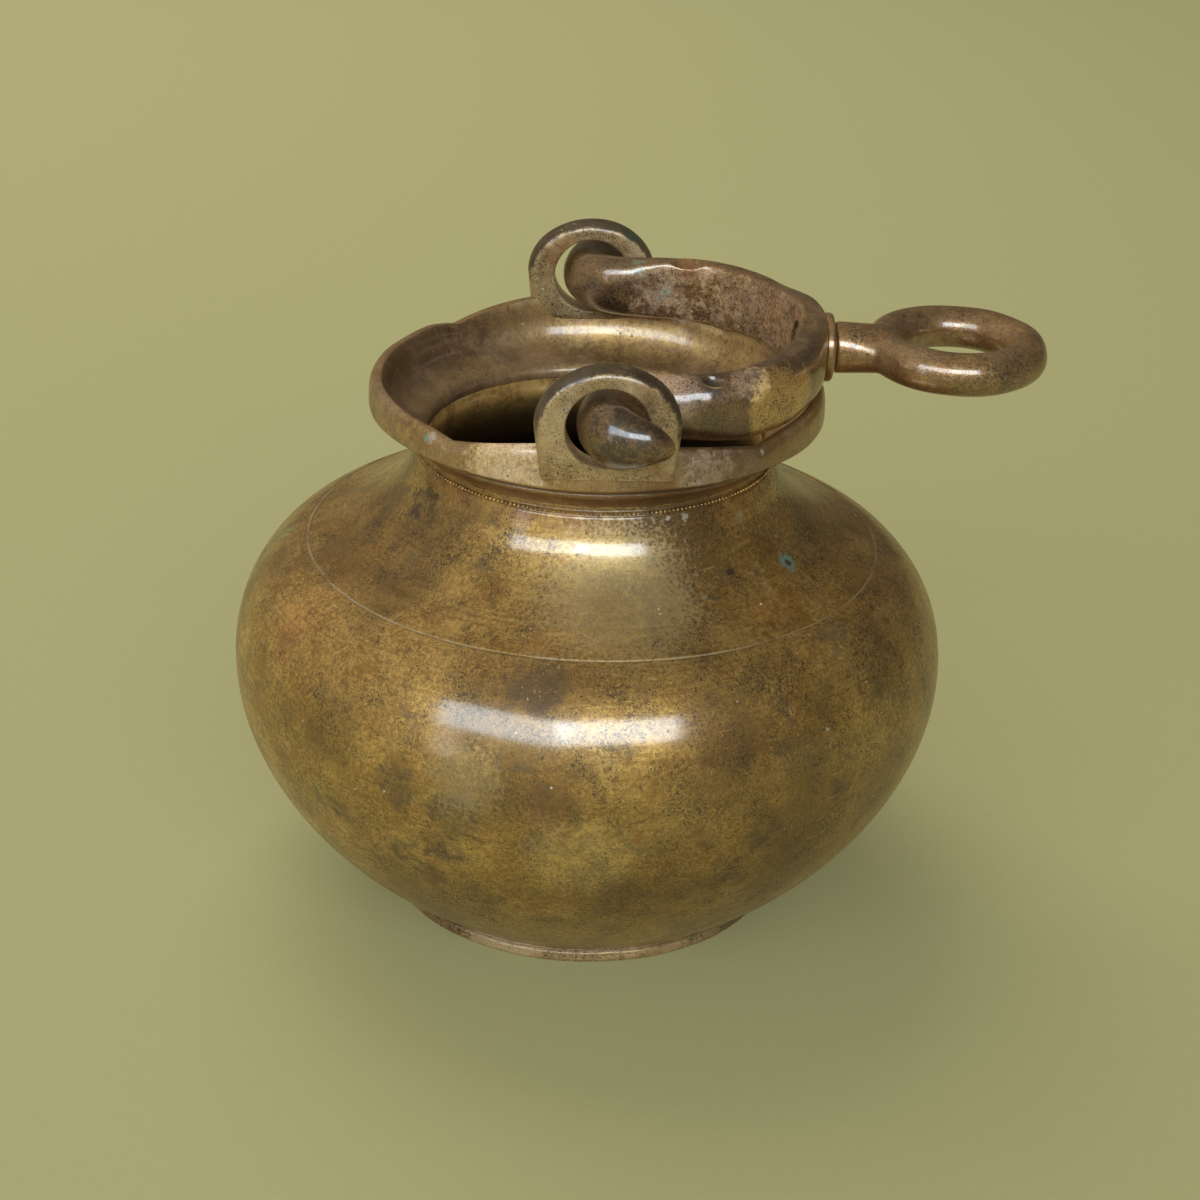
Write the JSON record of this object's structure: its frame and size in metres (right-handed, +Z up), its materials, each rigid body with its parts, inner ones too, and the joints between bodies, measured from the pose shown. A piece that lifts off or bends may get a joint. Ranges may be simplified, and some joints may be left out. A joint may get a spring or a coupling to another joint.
{
  "type": "holy water pot",
  "caption": "Round-bellied brass water pot with a flared rim, pierced ears, a swinging bail handle and a swivelling finger ring for carrying.",
  "frame": {"origin": "centre of the foot's flat underside", "axes": "+Z up along the pot's axis; the ears stand on the Y axis; the bail rests towards +X with its ring"},
  "size_m": [0.1672, 0.15, 0.1341],
  "materials": {
    "body_brass": "aged golden-olive, satin, spotted",
    "foot_brass": "rough pinkish tan",
    "rim_brass": "brown cast skin with file marks",
    "handle_brass": "dark bronze brown, worn golden where handled"
  },
  "bodies": {
    "pot": {"pot_body": "body_brass", "foot_plate": "foot_brass", "mouth_rim": "rim_brass", "front_ear": "rim_brass", "back_ear": "rim_brass"},
    "bail": {"bail_handle": "handle_brass", "swivel_collar": "handle_brass", "rivet_washer": "handle_brass"},
    "ring": {"finger_ring": "handle_brass"}
  },
  "joints": [
    {"name": "bail_swing", "type": "hinge", "parent": "pot", "child": "bail", "pos_m": [0, 0, 0.1223], "axis": [0, -1, 0], "range_deg": [0, 177]},
    {"name": "ring_swivel", "type": "hinge", "parent": "bail", "child": "ring", "pos_m": [0.0478, 0, 0.1223], "axis": [1, 0, 0], "continuous": true}
  ]
}
